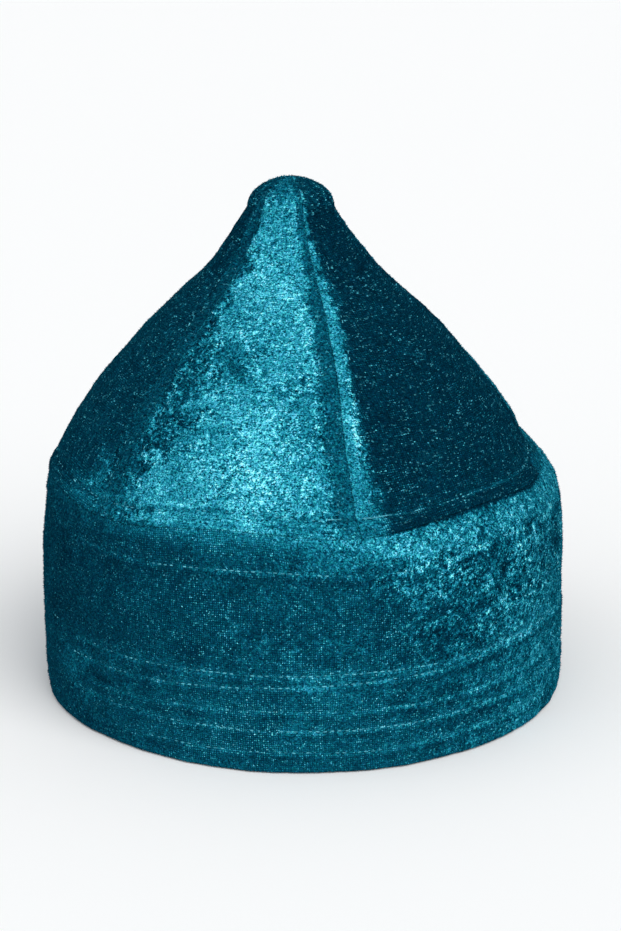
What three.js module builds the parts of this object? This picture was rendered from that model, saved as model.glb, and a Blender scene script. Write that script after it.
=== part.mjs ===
// A tall pointed skullcap sewn from velvet: an upright band, and six pointed gores that meet in a blunt nub.
// Millimetres, +Z up. The origin is the centre of the band's foot, and the wearer looks along -Y.

import * as THREE from 'three';

// Driving dimensions
const oval = 1.025; // front-to-back size of every section, as a share of its width
const bandWall = 3; // velvet turned double over a stiffener
const goreWall = 2; // one velvet with its backing
const goreCount = 6;
const firstSeam = THREE.MathUtils.degToRad(15); // from the front towards +X
const sewnGap = 0.34; // between the faces of neighbouring pieces
const seamDepth = 1.2; // how far a sewn edge sinks into its seam
const seamReach = 5; // how far from the edge that sinking starts
const jointHeight = 81.5; // where the gores are sewn to the band, on average
const jointDip = 1.7; // the joint is this much lower at each gore seam, and higher between seams
const jointTilt = 0.016; // and it climbs towards +X, per millimetre
const hemRound = 0.7; // bevel of the band's folded foot
const nubBase = 172.7; // above this height the gores close over a domed nub
const nubRadius = 15.35;
const capHeight = 183.9;
const tipRadius = 2; // where the gores' points stop short of the axis

// Steps of the faceted walls
const goreColumns = 10;
const goreRows = 15;
const nubRows = 5;
const bandRows = 10;

// Sections of the outside: height, radius, and how far the section's centre leans towards +X
const sections = [
  { height: 0, radius: 95.2, lean: 0.4 },
  { height: 20, radius: 95.5, lean: 0 },
  { height: 40, radius: 95.0, lean: -0.3 },
  { height: 58, radius: 94.9, lean: -0.4 },
  { height: 68, radius: 93.7, lean: -0.4 },
  { height: 76, radius: 91.9, lean: -1.5 },
  { height: 82, radius: 88.9, lean: -3.1 },
  { height: 88, radius: 84.9, lean: -4.0 },
  { height: 94, radius: 81.2, lean: -4.0 },
  { height: 100, radius: 77.4, lean: -3.7 },
  { height: 108, radius: 71.9, lean: -3.5 },
  { height: 118, radius: 63.5, lean: -3.5 },
  { height: 130, radius: 52.8, lean: -3.5 },
  { height: 142, radius: 40.6, lean: -3.7 },
  { height: 152, radius: 30.1, lean: -3.9 },
  { height: 160, radius: 23.6, lean: -4.0 },
  { height: 166, radius: 19.4, lean: -4.1 },
];

// Seams that don't run straight up: the degrees by which the seam at `turn` has gone round by each height.
// The cloth beside it goes with it, less and less over about twice `reach` degrees
const seamSwings = [
  {
    turn: 15,
    reach: 38,
    path: [
      { height: 70, swing: 0 },
      { height: 84, swing: -0.6 },
      { height: 98, swing: -1.2 },
      { height: 120, swing: 0 },
      { height: 146, swing: 1.9 },
      { height: 160, swing: 1.6 },
      { height: 184, swing: 0.6 },
    ],
  },
  {
    turn: 75,
    reach: 30,
    path: [
      { height: 70, swing: 0 },
      { height: 81, swing: 2 },
      { height: 90, swing: 6 },
      { height: 100, swing: 9.3 },
      { height: 110, swing: 11.3 },
      { height: 120, swing: 13.8 },
      { height: 130, swing: 17 },
      { height: 142, swing: 19.5 },
      { height: 166, swing: 20 },
      { height: 184, swing: 16 },
    ],
  },
];

// The joint's dips and tilt start above `from`, are whole between `full` and `whole`, and end at `to`
const jointWave = { from: 45, full: 74, whole: 86, to: 104 };

// The nub's dome: a quarter ellipse from its base to just short of the axis
function domeSections() {
  const lastTurn = Math.acos(tipRadius / nubRadius);
  return Array.from({ length: nubRows + 1 }, (_, row) => ({
    height: nubBase + (capHeight - nubBase) * Math.sin((lastTurn * row) / nubRows),
    radius: nubRadius * Math.cos((lastTurn * row) / nubRows),
    lean: sections.at(-1).lean,
  }));
}

// One smooth outline carries radius, lean and height, so band and gores agree along their joint
const outline = new THREE.CatmullRomCurve3(
  [...sections, ...domeSections()].map(({ height, radius, lean }) => new THREE.Vector3(radius, lean, height)),
  false,
  'centripetal',
);
outline.arcLengthDivisions = 600;
const outlineLength = outline.getLength();

// The share of the outline's length at which it reaches a height
function shareAtHeight(height) {
  let low = 0;
  let high = 1;
  for (let halving = 0; halving < 30; halving += 1) {
    const middle = (low + high) / 2;
    if (outline.getPointAt(middle).z < height) low = middle;
    else high = middle;
  }
  return low;
}

// A point in the wall's section: `share` along the outline, and `depth` under its surface
function wallPoint(share, depth) {
  const { x: radius, y: lean, z: height } = outline.getPointAt(share);
  const along = outline.getTangentAt(share);
  const slope = Math.hypot(along.x, along.z);
  return { radius: radius - (depth * along.z) / slope, height: height + (depth * along.x) / slope, lean };
}

// How much higher or lower the joint and its surroundings lie at one turn round the cap
function jointRise(height, radius, turn) {
  const fadeIn = THREE.MathUtils.smoothstep(height, jointWave.from, jointWave.full);
  const fadeOut = 1 - THREE.MathUtils.smoothstep(height, jointWave.whole, jointWave.to);
  const dips = -jointDip * Math.cos(goreCount * (turn - firstSeam));
  return fadeIn * fadeOut * (dips + jointTilt * radius * Math.sin(turn));
}

// How far a seam has swung by a height
function swingAt(path, height) {
  const next = path.findIndex((step) => step.height >= height);
  if (next < 0) return path.at(-1).swing;
  if (next === 0) return path[0].swing;
  const low = path[next - 1];
  const high = path[next];
  return low.swing + ((high.swing - low.swing) * (height - low.height)) / (high.height - low.height);
}

// Where a straight gore's turn comes to lie once the seams have swung
function swungTurn(height, straightTurn) {
  let turn = straightTurn;
  for (const { turn: seamTurn, reach, path } of seamSwings) {
    const away = THREE.MathUtils.radToDeg(straightTurn) - seamTurn;
    const nearest = THREE.MathUtils.euclideanModulo(away + 180, 360) - 180;
    turn += THREE.MathUtils.degToRad(swingAt(path, height)) * Math.exp(-((nearest / reach) ** 2));
  }
  return turn;
}

// A section's point set round the cap: turn 0 is the front, and turns grow towards +X
function roundTheCap({ radius, height, lean }, straightTurn) {
  const turn = swungTurn(height, straightTurn);
  return [
    radius * Math.sin(turn) + lean,
    -radius * Math.cos(turn) * oval,
    height + jointRise(height, radius, turn),
  ];
}

// How deep the surface lies at a distance from a sewn edge
function seamSink(distance) {
  return seamDepth * Math.max(0, 1 - distance / seamReach) ** 2;
}

// Columns lie closer together near a gore's seams: -1 and 1 are the seams themselves
function columnPlace(column) {
  return Math.sin((column / goreColumns - 0.5) * Math.PI);
}

const halfSector = Math.PI / goreCount;
const goreMiddle = (index) => firstSeam + (2 * index + 1) * halfSector;
const jointShare = shareAtHeight(jointHeight);
const halfGapShare = sewnGap / 2 / outlineLength;
const velvet = { color: 0x07566b, roughness: 0.85, metalness: 0 };

// The band: a lathed ring with a flat foot, its edges bevelled and its top turned in, in the gores' columns
function makeBand() {
  const lastShare = jointShare - halfGapShare;
  const firstShare = hemRound / outlineLength;
  const outer = [];
  const inner = [];
  for (let row = 0; row <= bandRows; row += 1) {
    const share = firstShare + (lastShare - firstShare) * Math.sin((row / bandRows) * (Math.PI / 2));
    const sink = seamSink((lastShare - share) * outlineLength);
    outer.push(wallPoint(share, sink));
    inner.unshift(wallPoint(share, sink + bandWall));
  }
  const foot = sections[0];
  const footInside = { ...foot, radius: foot.radius - bandWall + hemRound };
  const footOutside = { ...foot, radius: foot.radius - hemRound };
  const profile = [footInside, footOutside, ...outer, ...inner, footInside];
  const ring = new THREE.LatheGeometry(
    profile.map(({ radius, height }) => new THREE.Vector2(radius, height)),
    goreCount * goreColumns,
  );
  const places = ring.attributes.position;
  for (let corner = 0; corner < places.count; corner += 1) {
    const column = Math.floor(corner / profile.length) % (goreCount * goreColumns);
    const gore = Math.floor(column / goreColumns);
    const turn = goreMiddle(gore) + columnPlace(column % goreColumns) * halfSector;
    places.setXYZ(corner, ...roundTheCap(profile[corner % profile.length], turn));
  }
  ring.computeVertexNormals();
  return new THREE.Mesh(ring, new THREE.MeshStandardMaterial(velvet));
}

// One gore: a box bent to the crown, with its columns spread between two seams and its rows from joint to tip
function makeGore(index) {
  const firstShare = jointShare + halfGapShare;
  const nubShare = shareAtHeight(nubBase);
  const rows = goreRows + nubRows;
  const panel = new THREE.BoxGeometry(goreColumns, rows, 1, goreColumns, rows, 1);
  const places = panel.attributes.position;
  for (let corner = 0; corner < places.count; corner += 1) {
    const column = Math.round(places.getX(corner) + goreColumns / 2);
    const row = Math.round(places.getY(corner) + rows / 2);
    const share = row <= goreRows
      ? firstShare + ((nubShare - firstShare) * row) / goreRows
      : nubShare + ((1 - nubShare) * (row - goreRows)) / nubRows;
    const outside = outline.getPointAt(share).x;
    const side = columnPlace(column);
    const toJoint = (share - firstShare) * outlineLength;
    const toSeam = (1 - Math.abs(side)) * halfSector * outside;
    const nearTip = Math.min(1, outside / nubRadius);
    const sink = Math.max(seamSink(toJoint), seamSink(toSeam) * nearTip);
    const point = wallPoint(share, places.getZ(corner) > 0 ? sink : sink + goreWall);
    const toGap = halfSector - Math.asin(sewnGap / 2 / point.radius);
    places.setXYZ(corner, ...roundTheCap(point, goreMiddle(index) + side * toGap));
  }
  panel.computeVertexNormals();
  return new THREE.Mesh(panel, new THREE.MeshStandardMaterial(velvet));
}

const cap = new THREE.Group();
const band = makeBand();
band.name = 'band';
cap.add(band);
for (let index = 0; index < goreCount; index += 1) {
  const gore = makeGore(index);
  gore.name = `gore_${index + 1}`;
  cap.add(gore);
}

export default cap;
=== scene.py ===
import math

import bmesh
import bpy
import numpy as np
from mathutils import Matrix, Vector, noise


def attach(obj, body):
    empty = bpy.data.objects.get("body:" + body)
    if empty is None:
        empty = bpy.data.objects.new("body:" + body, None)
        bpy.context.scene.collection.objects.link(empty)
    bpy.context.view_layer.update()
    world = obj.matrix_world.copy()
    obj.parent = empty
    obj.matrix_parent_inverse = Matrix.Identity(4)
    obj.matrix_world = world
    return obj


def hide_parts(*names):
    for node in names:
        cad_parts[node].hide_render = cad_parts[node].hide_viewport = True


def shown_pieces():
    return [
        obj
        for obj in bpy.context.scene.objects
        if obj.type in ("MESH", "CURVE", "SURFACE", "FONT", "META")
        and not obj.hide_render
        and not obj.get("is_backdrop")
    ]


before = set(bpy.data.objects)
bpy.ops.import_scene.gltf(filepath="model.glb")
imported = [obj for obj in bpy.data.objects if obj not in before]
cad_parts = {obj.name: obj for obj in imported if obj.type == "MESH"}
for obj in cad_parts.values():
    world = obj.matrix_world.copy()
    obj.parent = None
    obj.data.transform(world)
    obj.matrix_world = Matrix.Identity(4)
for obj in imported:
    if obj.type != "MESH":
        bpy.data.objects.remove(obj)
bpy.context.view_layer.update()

mm = 0.001
scene = bpy.context.scene
print("frame loaded:", len(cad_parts), "solids")


def asObject(name, data):
    made = bpy.data.objects.new(name, data)
    scene.collection.objects.link(made)
    return made


def asMesh(bm, name):
    mesh = bpy.data.meshes.new(name)
    bm.to_mesh(mesh)
    bm.free()
    return mesh


# the mesh that an object's modifiers leave
def finishedMesh(made):
    return bpy.data.meshes.new_from_object(made.evaluated_get(bpy.context.evaluated_depsgraph_get()))


# camera, floor and light

cameraSetup = {
    "aside": 0.0026,
    "distance": 0.804,
    "height": 0.3276,
    "downward": 17.28,
    "lens": 89.505,
    "sensor": 36.0,
}

studio = {
    "floorSize": 16.0,
    "floorDrop": 0.0004,
    "floorColour": (0.97, 0.97, 0.97, 1),
    "floorRoughness": 0.85,
    "mottle": 0.06,
    "mottleSize": 0.02,
    "skyColour": (0.95, 0.975, 1.0, 1),
    "skyStrength": 0.53,
    "lamps": [
        {
            "name": "keyLight", "towards": (0.5, -0.8, 1.0), "softness": 50,
            "strength": 1.75, "colour": (1, 0.99, 0.97),
        },
        {
            "name": "fillLight", "towards": (-0.9, -0.6, 0.8), "softness": 80,
            "strength": 0.55, "colour": (0.95, 0.98, 1),
        },
    ],
}


def makeCamera(setup):
    data = bpy.data.cameras.new("camera")
    data.sensor_width = setup["sensor"]
    data.lens = setup["lens"]
    data.clip_end = 50
    camera = asObject("camera", data)
    camera.location = (setup["aside"], -setup["distance"], setup["height"])
    camera.rotation_euler = (math.radians(90 - setup["downward"]), 0, 0)
    scene.camera = camera


def makeLamps(setup):
    for lamp in setup["lamps"]:
        data = bpy.data.lights.new(lamp["name"], "SUN")
        data.angle = math.radians(lamp["softness"])
        data.energy = lamp["strength"]
        data.color = lamp["colour"]
        light = asObject(lamp["name"], data)
        light.rotation_euler = Vector(lamp["towards"]).to_track_quat("Z", "Y").to_euler()
    world = bpy.data.worlds.new("softSky")
    world.use_nodes = True
    sky = world.node_tree.nodes["Background"]
    sky.inputs["Color"].default_value = setup["skyColour"]
    sky.inputs["Strength"].default_value = setup["skyStrength"]
    scene.world = world


# node maths written as expressions

class Value:
    def __init__(self, nodes, socket):
        self.nodes = nodes
        self.socket = socket

    def other(self, output):
        return Value(self.nodes, self.socket.node.outputs[output])

    def maths(self, operation, *others, clamp=False):
        sockets = dict(enumerate((self,) + others))
        return self.nodes.node("ShaderNodeMath", {"operation": operation, "use_clamp": clamp}, sockets)

    def __add__(self, other):
        return self.maths("ADD", other)

    def __sub__(self, other):
        return self.maths("SUBTRACT", other)

    def __mul__(self, other):
        return self.maths("MULTIPLY", other)

    def __rsub__(self, other):
        return (self * -1) + other

    __radd__ = __add__
    __rmul__ = __mul__

    def clamped(self):
        return self.maths("ADD", 0, clamp=True)


class Nodes:
    def __init__(self, tree):
        self.tree = tree

    def node(self, kind, settings=None, sockets=None, output=0):
        made = self.tree.nodes.new(kind)
        for key, value in (settings or {}).items():
            if key == "stops":
                self.setStops(made.color_ramp, value)
            else:
                setattr(made, key, value)
        for key, value in (sockets or {}).items():
            if isinstance(value, Value):
                self.tree.links.new(value.socket, made.inputs[key])
            else:
                made.inputs[key].default_value = value
        if made.outputs:
            return Value(self, made.outputs[output])

    def setStops(self, ramp, stops):
        while len(ramp.elements) < len(stops):
            ramp.elements.new(1)
        for element, (position, colour) in zip(ramp.elements, stops):
            element.position = position
            element.color = (*colour, 1)


class Finish(Nodes):
    def __init__(self, name):
        self.material = bpy.data.materials.new(name)
        self.material.use_nodes = True
        super().__init__(self.material.node_tree)
        self.tree.nodes.clear()

    def attribute(self, name):
        return self.node("ShaderNodeAttribute", {"attribute_name": name}, output="Fac")

    def grain(self, places, size, detail=1, roughness=0.5):
        sockets = {"Vector": places, "Scale": 1 / size, "Detail": detail, "Roughness": roughness}
        return self.node("ShaderNodeTexNoise", {}, sockets, output="Fac") - 0.5

    def cells(self, places, size):
        colours = self.node("ShaderNodeTexVoronoi", {}, {"Vector": places, "Scale": 1 / size}, "Color")
        return self.node("ShaderNodeSeparateColor", {}, {"Color": colours}, "Red")

    def mix(self, share, first, second, blend="MIX"):
        settings = {"data_type": "RGBA", "blend_type": blend}
        return self.node("ShaderNodeMix", settings, {0: share, 6: first, 7: second}, 2)

    def surface(self, sockets):
        shader = self.node("ShaderNodeBsdfPrincipled", {}, sockets)
        self.node("ShaderNodeOutputMaterial", {}, {"Surface": shader})
        return self.material


def plainFloor(setup):
    finish = Finish("paleFloor")
    places = finish.node("ShaderNodeTexCoord", output="Object")
    mottled = finish.grain(places, setup["mottleSize"], 3) * setup["mottle"]
    material = finish.surface({
        "Base Color": setup["floorColour"],
        "Roughness": mottled + setup["floorRoughness"],
        "Specular IOR Level": 0.1,
    })
    bm = bmesh.new()
    bmesh.ops.create_grid(bm, x_segments=1, y_segments=1, size=setup["floorSize"] / 2)
    bmesh.ops.translate(bm, verts=bm.verts, vec=(0, 0, -setup["floorDrop"]))
    mesh = asMesh(bm, "floor")
    mesh.materials.append(material)
    floor = asObject("floor", mesh)
    floor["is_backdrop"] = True


makeCamera(cameraSetup)
makeLamps(studio)
plainFloor(studio)
scene.view_settings.view_transform = "Standard"
print("camera, floor and light set")


# the cap's own shape, in millimetres: its outline from foot to point, then round

shape = {
    "oval": 1.025,
    "goreCount": 6,
    "firstSeam": math.radians(15),
    "jointHeight": 81.5,
    "jointDip": 1.7,
    "jointTilt": 0.016,
    "waveStarts": (45, 74),
    "waveEnds": (86, 104),
    "nubBase": 172.7,
    "nubRadius": 15.35,
    "nubLean": -4.1,
    "capHeight": 183.9,
    "profileStep": 0.25,
    "domeSteps": 60,
}

outline = {
    "height": [0, 20, 40, 58, 68, 76, 82, 88, 94, 100, 108, 118, 130, 142, 152, 160, 166, 172.7],
    "radius": [95.2, 95.5, 95.0, 94.9, 93.7, 91.9, 88.9, 84.9, 81.2, 77.4, 71.9, 63.5, 52.8, 40.6, 30.1,
               23.6, 19.4, 15.35],
    "lean": [0.4, 0, -0.3, -0.4, -0.4, -1.5, -3.1, -4.0, -4.0, -3.7, -3.5, -3.5, -3.5, -3.7, -3.9,
             -4.0, -4.1, -4.1],
}

# seams that don't run straight up: the degrees each has gone round by each height, and how far that reaches
seamSwings = [
    {
        "turn": 15,
        "reach": 38,
        "height": [0, 84, 92, 98, 106, 113, 120, 128, 137, 146, 160, 184],
        "swing": [-0.4, -0.4, -0.5, -0.8, -1.2, -0.9, -0.2, 0.4, 0.9, 1.9, 1.6, 0.6],
    },
    {
        "turn": 75,
        "reach": 30,
        "height": [70, 81, 90, 100, 110, 120, 130, 142, 166, 184],
        "swing": [0, 2, 6, 9.3, 11.3, 13.8, 17, 19.5, 20, 16],
    },
]


def smoothstep(value, low, high):
    t = np.clip((value - low) / (high - low), 0, 1)
    return t * t * (3 - 2 * t)


def hill(distance, width):
    return np.exp(-(distance / width) ** 2)


def mixed(first, second, share):
    return first + share * (second - first)


def charted(chart, key, at, by="turn"):
    return np.interp(at, chart[by], chart[key])


# a smooth line through given points, level beyond the ends
def throughPoints(at, xs, ys):
    xs, ys = np.array(xs, float), np.array(ys, float)
    tilts = np.gradient(ys, xs)
    i = np.clip(np.searchsorted(xs, at, side="right") - 1, 0, len(xs) - 2)
    step = xs[i + 1] - xs[i]
    t = np.clip((at - xs[i]) / step, 0, 1)
    rise = t * (1 - t) * step * ((1 - t) * tilts[i] - t * tilts[i + 1])
    return (1 + 2 * t) * (1 - t) ** 2 * ys[i] + t * t * (3 - 2 * t) * ys[i + 1] + rise


def makeProfile():
    height = np.arange(0, shape["nubBase"], shape["profileStep"])
    radius = throughPoints(height, outline["height"], outline["radius"])
    lean = throughPoints(height, outline["height"], outline["lean"])
    angle = np.linspace(0, math.pi / 2, shape["domeSteps"])
    domeRise = shape["capHeight"] - shape["nubBase"]
    height = np.append(height, shape["nubBase"] + domeRise * np.sin(angle))
    radius = np.append(radius, shape["nubRadius"] * np.cos(angle))
    lean = np.append(lean, np.full(len(angle), shape["nubLean"]))
    arc = np.append(0, np.cumsum(np.hypot(np.diff(height), np.diff(radius))))
    return {"arc": arc, "height": height, "radius": radius, "lean": lean}


profile = makeProfile()
slopes = {key: np.gradient(column, profile["arc"]) for key, column in profile.items()}
jointArc = float(np.interp(shape["jointHeight"], profile["height"], profile["arc"]))
wholeArc = float(profile["arc"][-1])


def along(arc, key, table=profile):
    return np.interp(arc, profile["arc"], table[key])


def arcAt(height):
    return np.interp(height, profile["height"], profile["arc"])


def nearest(degrees):
    return (degrees + 180) % 360 - 180


def swungTurn(turn, height):
    swung = turn
    for seam in seamSwings:
        away = nearest(np.degrees(turn) - seam["turn"])
        swing = throughPoints(height, seam["height"], seam["swing"])
        swung = swung + np.radians(swing) * hill(away, seam["reach"])
    return swung


def onCap(turn, arc, lift):
    height, radius, lean = along(arc, "height"), along(arc, "radius"), along(arc, "lean")
    bent = swungTurn(turn, height)
    fade = smoothstep(height, *shape["waveStarts"]) * (1 - smoothstep(height, *shape["waveEnds"]))
    wave = -shape["jointDip"] * np.cos(shape["goreCount"] * (bent - shape["firstSeam"]))
    wave = fade * (wave + shape["jointTilt"] * radius * np.sin(bent))
    sine, cosine = np.sin(bent), np.cos(bent)
    places = np.stack([radius * sine + lean, -shape["oval"] * radius * cosine, height + wave], -1)
    rounding = np.stack([cosine, shape["oval"] * sine, np.zeros_like(sine)], -1)
    out, over = along(arc, "radius", slopes), along(arc, "lean", slopes)
    rising = np.stack([out * sine + over, -shape["oval"] * out * cosine, along(arc, "height", slopes)], -1)
    normal = np.cross(rounding, rising)
    normal /= np.linalg.norm(normal, axis=-1, keepdims=True)
    return places + normal * lift[..., None]


def onOutline(turn, arc):
    return onCap(turn, arc, np.zeros_like(arc))


# smooth waverings of the cloth and its pile: strength, size in mm, seed
waverings = {
    "cloth": [(0.9, 34, 1), (0.42, 9, 2), (0.22, 1.7, 3)],
    "pucker": [(0.6, 3.2, 4)],
    "thread": [(1, 6, 11), (0.5, 2, 19)],
    "fieldTurn": [(3.2, 7, 5)],
    "fieldHeight": [(2.6, 6, 6), (1.2, 2.5, 7)],
    "toneEdge": [(1, 2.4, 15)],
    "toneEdgeFine": [(0.5, 1.1, 20)],
    "brightEdge": [(13, 4.2, 12), (9, 1.7, 13)],
    "seamStrip": [(1.6, 4, 8), (0.9, 1.9, 10)],
    "footRow": [(0.9, 2.2, 21)],
    "footStreaks": [(0.3, 8, 16)],
    "crownTone": [(0.14, 10, 17), (0.12, 4, 18)],
    "bandTone": [(0.2, 7, 22), (0.1, 16, 23)],
    "bandRow": [(0.8, 9, 9), (0.9, 1.6, 14)],
}
seedShift = np.array([7.31, -3.77, 5.13])


def wavered(start, places, name):
    for strength, size, seed in waverings[name]:
        shifted = places / size + seed * seedShift
        start = start + strength * np.array([noise.noise(place) for place in shifted.tolist()])
    return start


# how the cloth stands off that shape: rolled edges, pressed seams, stitch rows, small waves

cloth = {
    "bandWall": 3.0,
    "goreWall": 2.0,
    "lipRadius": 0.7,
    "seamRoll": 0.4,
    "valleyDepth": 0.55,
    "valleyWidth": 1.5,
    "backSeamRoll": 1.0,
    "hemRadius": 0.9,
    "pileBed": 0.4,
    "allowance": 5.2,
    "allowanceRise": 0.45,
    "seamRoom": (4, 10),
    "stitchDip": 0.5,
    "stitchWidth": 0.75,
    "rowDip": 0.42,
    "rowWidth": 0.85,
    "rowPuff": 0.16,
    "puffAway": 2.6,
    "puffWidth": 1.6,
}

# how far the joint of crown and band shows, by turn: where it's pressed flat the pile hides it
jointShows = {
    "turn": [-180, -110, -70, -20, 6, 18, 90, 180],
    "shows": [0.8, 0.5, 0.05, 0.02, 0.06, 0.4, 0.5, 0.8],
}

# the stitch row at the crown's foot, the painted shade of the dark line it presses in and the painted
# highlight above that
crownRow = {
    "turn": [-180, -60, -20, 2, 12, 20, 29, 38, 47, 56, 80, 130, 180],
    "height": [86.3, 86.5, 86.7, 86.8, 86.9, 86.6, 85.8, 85.1, 85.2, 85.6, 87.0, 86.6, 86.3],
    "dark": 0.18,
    "darkWidth": 0.7,
    "paintedHighlight": 0.1,
    "highlightAbove": 1.6,
    "highlightWidth": 0.8,
    "glowWidth": 0.5,
}

# hollows in the crown: turn, height, width and tallness in mm, depth
crownDents = [(97, 86.2, 24, 5, 2.3)]

# the stitch rows of the band: their height at each turn from the front, and how deep they pull; glow is the
# strength of the painted highlight along each
rowTurns = [-180, -110, -60, -45, -30, -15, 0, 15, 30, 45, 60, 110, 180]
bandRows = {
    "shoulder": {
        "heights": [70.4, 70.8, 71.3, 70.9, 69.7, 69.2, 69.9, 69.8, 68.7, 70.0, 70.4, 70.6, 70.4],
        "pull": 0.6, "show": 0.03, "glow": 0.07,
    },
    "upper": {
        "heights": [34.0, 33.2, 33.0, 32.9, 33.7, 34.5, 35.0, 35.3, 34.9, 35.3, 35.2, 34.6, 34.0],
        "pull": 1.0, "show": 0.2, "glow": 0.06,
    },
    "second": {
        "heights": [29.4, 27.2, 26.2, 27.0, 28.1, 29.8, 31.1, 32.0, 32.5, 33.5, 33.6, 31.8, 29.4],
        "pull": 0.7, "show": 0.06, "glow": 0.07,
    },
    "middle": {
        "heights": [21.2, 20.4, 19.4, 19.7, 20.6, 21.6, 22.2, 21.6, 21.8, 22.0, 22.2, 21.8, 21.2],
        "pull": 0.9, "show": -0.2, "glow": 0.07,
    },
    "lower": {
        "heights": [15.0, 14.8, 14.7, 14.8, 14.6, 15.1, 15.1, 15.1, 15.4, 15.4, 15.3, 15.2, 15.0],
        "pull": 0.8, "show": 0.1, "glow": 0.06,
    },
    "hem": {
        "heights": [7.1, 6.8, 6.5, 6.5, 6.8, 7.1, 7.4, 6.9, 7.8, 7.9, 7.0, 7.1, 7.1],
        "pull": 0.7, "show": -0.16, "glow": 0.05,
    },
}


def rowHeight(row, turn):
    return throughPoints(nearest(np.degrees(turn)), rowTurns, bandRows[row]["heights"])


def crownRowHeight(turn):
    return throughPoints(nearest(np.degrees(turn)), crownRow["turn"], crownRow["height"])


def dented(turn, arc, dents):
    depths = np.zeros_like(arc)
    for t, h, wide, tall, depth in dents:
        across = np.radians(nearest(np.degrees(turn) - t)) * along(arc, "radius")
        depths -= depth * np.exp(-(across / wide) ** 2 - ((along(arc, "height") - h) / tall) ** 2)
    return depths


def jointShow(turn):
    return charted(jointShows, "shows", nearest(np.degrees(turn)))


# how far a cut edge of this radius rolls away, at a distance from it
def rolledEdge(distance, radius):
    depth = np.clip(1 - distance / radius, 0, 1)
    return -radius * (1 - np.sqrt(1 - depth ** 2))


# how far it is to the nearest gore seam, less than 0 on the seam's left
def seamDistance(turn, arc):
    share = 2 * math.pi / shape["goreCount"]
    offset = (turn - shape["firstSeam"]) % share
    signed = np.where(offset > share / 2, offset - share, offset)
    return signed * along(arc, "radius")


# how much of the joint's rolled lip is left where the joint is pressed flat
def lipShare(shows):
    return 0.05 + 0.95 * shows


def crownLift(turn, arc, inner=False):
    seam = np.abs(seamDistance(turn, arc))
    up = arc - jointArc
    room = along(arc, "radius") * math.pi / shape["goreCount"]
    opened = smoothstep(room, *cloth["seamRoom"])
    strip = 1 - smoothstep(seam, cloth["allowance"] - 0.6, cloth["allowance"] + 1.2)
    rowUp = arcAt(crownRowHeight(turn)) - jointArc
    foot = 1 - smoothstep(up, rowUp - 0.6, rowUp + 1.0)
    lift = cloth["allowanceRise"] * np.maximum(strip * opened, foot)
    hollow = dented(turn, arc, crownDents)
    if inner:
        return hollow - cloth["goreWall"] - lift
    places = onOutline(turn, arc)
    pucker = wavered(1, places, "pucker")
    for distance in (seam - cloth["allowance"], up - rowUp):
        lift -= cloth["stitchDip"] * hill(distance, cloth["stitchWidth"]) * opened * pucker
    loose = 0.25 + 0.75 * smoothstep(np.minimum(seam, up), 0, 4) * opened
    lift += wavered(0, places, "cloth") * loose + hollow - cloth["pileBed"]
    roll = np.minimum(cloth["seamRoll"], room * 0.4)
    shows = jointShow(turn)
    valley = cloth["valleyDepth"] * hill(seam, cloth["valleyWidth"]) * opened
    valley = np.maximum(valley, cloth["valleyDepth"] * shows * hill(up, cloth["valleyWidth"]))
    lip = cloth["lipRadius"] * lipShare(shows)
    return lift - valley + rolledEdge(seam, roll) + rolledEdge(up, lip)


# small dents in the band: turn, height, width and tallness in mm, depth
bandDents = [
    (47.5, 61, 4, 3, 1.0),
    (49, 52, 3, 6, 0.9),
    (35, 62, 4, 3, 0.5),
    (31, 46, 6, 6, 0.6),
    (58, 70, 5, 3, 0.9),
    (42, 73, 3, 4, 0.5),
    (62, 58, 4, 5, 0.7),
    (-47, 22, 8, 2, 0.6),
    (-66, 37, 6, 8, 0.5),
    (97, 82, 24, 4, 1.0),
]


def bandLift(turn, arc):
    height = along(arc, "height")
    places = onOutline(turn, arc)
    pucker = wavered(1, places, "pucker")
    lift = np.zeros_like(arc)
    for row in bandRows:
        distance = height - rowHeight(row, turn)
        pull = bandRows[row]["pull"]
        pressed = pull * hill(distance, cloth["rowWidth"])
        lift -= cloth["rowDip"] * pressed * pucker
        lift += cloth["rowPuff"] * pull * hill(np.abs(distance) - cloth["puffAway"], cloth["puffWidth"])
    back = np.radians(np.abs(nearest(np.degrees(turn) + 180))) * along(arc, "radius")
    lift += dented(turn, arc, bandDents) + rolledEdge(back, cloth["backSeamRoll"]) - cloth["pileBed"]
    loose = 0.2 + 0.8 * smoothstep(jointArc - arc, 0, 3)
    return lift + wavered(0, places, "cloth") * loose


# which way the pile lies, and the painted sheen that gives: each gore's tone, from 0 to 1, is its painted
# brightness, lighter on some gores and darker on others of the same cloth, with the cloth's own random tone
# in it, and crush is how blotchy it is

goreNapSheen = {
    "gore_1": {"nap": 0.113, "crush": 0.25, "nearSeam": 0.45, "farSeam": 0.13, "worn": 0.6, "thread": -0.3,
               "rowGlow": 0.13},
    # gore_2's dark near-seam tone is painted shade along the cap's right-hand edge
    "gore_2": {"nap": 0.27, "crush": 0.6, "nearSeam": 0.07, "farSeam": 0.24, "worn": 0.2, "thread": -0.1},
    "gore_3": {"nap": 0.15, "crush": 0.3, "nearSeam": 0.22, "farSeam": 0.16, "worn": 0.4, "thread": -0.06},
    "gore_4": {"nap": 0.37, "crush": 0.7, "nearSeam": 0.3, "farSeam": 0.25, "worn": 0.2, "thread": -0.1},
    "gore_5": {"nap": 0.138, "crush": 0.3, "nearSeam": 0.16, "farSeam": 0.18, "worn": 0.45, "thread": -0.25},
    "gore_6": {"nap": 0.45, "crush": 0.28, "nearSeam": 0.21, "farSeam": 0.2, "worn": 0.1, "thread": -0.2},
}
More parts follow.
